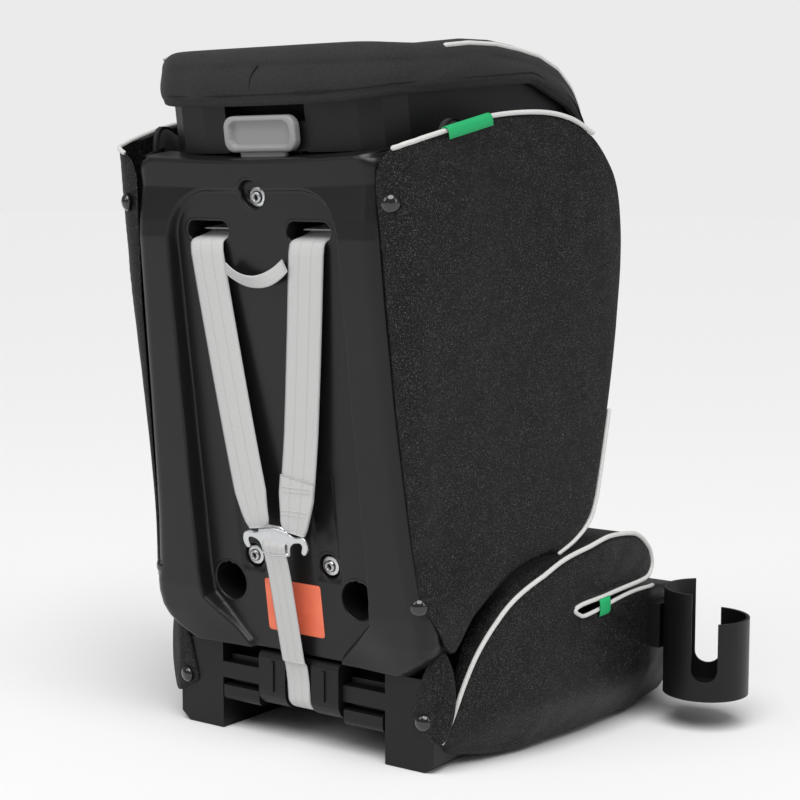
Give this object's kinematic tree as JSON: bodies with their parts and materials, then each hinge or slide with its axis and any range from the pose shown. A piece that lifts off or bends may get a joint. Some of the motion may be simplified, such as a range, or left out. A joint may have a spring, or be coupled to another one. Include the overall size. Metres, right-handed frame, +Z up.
{
  "type": "child car seat",
  "caption": "High-backed child car seat with reclining backrest, sliding headrest, side wings, armrests, rear harness yoke and a cup holder.",
  "frame": {"origin": "centre of the underside pan's lower face, on the ground plane, midway between the sides", "axes": "+Z up, the child faces -Y, the cup holder is on the -X side"},
  "size_m": [0.518, 0.4726, 0.6281],
  "materials": {
    "black_plastic": "satin moulded polypropylene",
    "charcoal_knit": "stretch knit over foam",
    "grain_cover": "grained cover with a fine glint",
    "webbing": "ribbed polyester webbing",
    "zinc": "tumbled zinc",
    "steel": "plated steel",
    "grey_plastic": "fine matte",
    "stud": "polished black",
    "orange_label": "blank film",
    "green_tape": "woven tape",
    "red_plastic": "smooth"
  },
  "bodies": {
    "base": {"base_shell": "black_plastic", "underside_pan": "black_plastic", "hinge_bar": "black_plastic", "strap_guide": "black_plastic", "seat_cushion": "charcoal_knit", "seat_side_pads": "charcoal_knit", "armrest_frames": "black_plastic", "armrest_pad_left": "grain_cover", "armrest_pad_right": "grain_cover", "side_bolster_left": "grain_cover", "side_bolster_right": "grain_cover", "base_studs": "stud", "adjuster_housing": "black_plastic", "adjuster_strap_base": "webbing", "adjuster_spring": "steel", "crotch_strap": "webbing", "crotch_pad": "charcoal_knit", "buckle_housing": "black_plastic", "buckle_spring": "steel", "lap_straps": "webbing", "lap_anchor_plates": "steel", "cup_holder_bracket": "black_plastic", "pan_screws": "steel", "base_tab": "green_tape"},
    "adjuster_button": {"adjuster_button": "grey_plastic"},
    "buckle_button": {"buckle_button": "red_plastic", "buckle_latch": "steel"},
    "tongue_left": {"tongue_left": "steel"},
    "tongue_right": {"tongue_right": "steel"},
    "cup_holder": {"cup_holder": "black_plastic"},
    "backrest": {"back_shell": "black_plastic", "back_frame": "black_plastic", "hinge_hooks": "black_plastic", "height_rack": "grey_plastic", "wing_panels": "black_plastic", "wing_cover_left": "grain_cover", "wing_cover_right": "grain_cover", "wing_pad_left": "charcoal_knit", "wing_pad_right": "charcoal_knit", "back_cushion": "charcoal_knit", "back_screws": "steel", "back_washers": "zinc", "wing_studs": "stud", "back_label": "orange_label", "wing_tab": "green_tape", "shoulder_straps": "webbing", "shoulder_pads": "charcoal_knit", "rear_strap_left": "webbing", "rear_strap_right": "webbing", "cross_strap": "webbing", "adjuster_strap_back": "webbing"},
    "headrest": {"headrest_shell": "black_plastic", "headrest_cover": "charcoal_knit", "headrest_pad": "charcoal_knit", "belt_guides": "grey_plastic", "lever_springs": "steel"},
    "headrest_lever": {"headrest_lever": "grey_plastic"},
    "lever_latch": {"lever_latch": "steel"},
    "harness_yoke": {"harness_yoke": "zinc"}
  },
  "joints": [
    {"name": "backrest_recline", "type": "hinge", "parent": "base", "child": "backrest", "pos_m": [0, 0.19, 0.056], "axis": [-1, 0, 0], "range_deg": [0, 15], "deforming": ["adjuster_strap_base", "adjuster_strap_back", "lap_straps"]},
    {"name": "headrest_height", "type": "slide", "parent": "backrest", "child": "headrest", "axis": [0, 0.1392, 0.9903], "range_m": [0, 0.15]},
    {"name": "lever_pull", "type": "slide", "parent": "headrest", "child": "headrest_lever", "axis": [0, 0.1392, 0.9903], "range_m": [0, 0.008], "stiffness_N_per_m": 600, "springref_m": -0.004, "deforming": ["lever_springs"]},
    {"name": "latch_release", "type": "slide", "parent": "headrest", "child": "lever_latch", "axis": [0, 0.9903, -0.1392], "range_m": [0, 0.0068]},
    {"name": "yoke_slide", "type": "slide", "parent": "backrest", "child": "harness_yoke", "axis": [0, 0.1392, 0.9903], "range_m": [0, 0.14], "deforming": ["rear_strap_left", "rear_strap_right", "cross_strap"]},
    {"name": "buckle_press", "type": "slide", "parent": "base", "child": "buckle_button", "axis": [0, 1, 0], "range_m": [0, 0.004], "stiffness_N_per_m": 800, "springref_m": -0.004, "deforming": ["buckle_spring"]},
    {"name": "adjuster_press", "type": "slide", "parent": "base", "child": "adjuster_button", "axis": [0, 1, 0], "range_m": [0, 0.005], "stiffness_N_per_m": 800, "springref_m": -0.004, "deforming": ["adjuster_spring"]},
    {"name": "tongue_left_out", "type": "slide", "parent": "base", "child": "tongue_left", "axis": [0, 0, 1], "range_m": [0, 0.03]},
    {"name": "tongue_right_out", "type": "slide", "parent": "base", "child": "tongue_right", "axis": [0, 0, 1], "range_m": [0, 0.03]},
    {"name": "cup_holder_lift", "type": "slide", "parent": "base", "child": "cup_holder", "axis": [0, 0, 1], "range_m": [0, 0.05]}
  ],
  "couplings": [
    {"joint": "latch_release", "follows": "lever_pull", "ratio": 0.8}
  ]
}
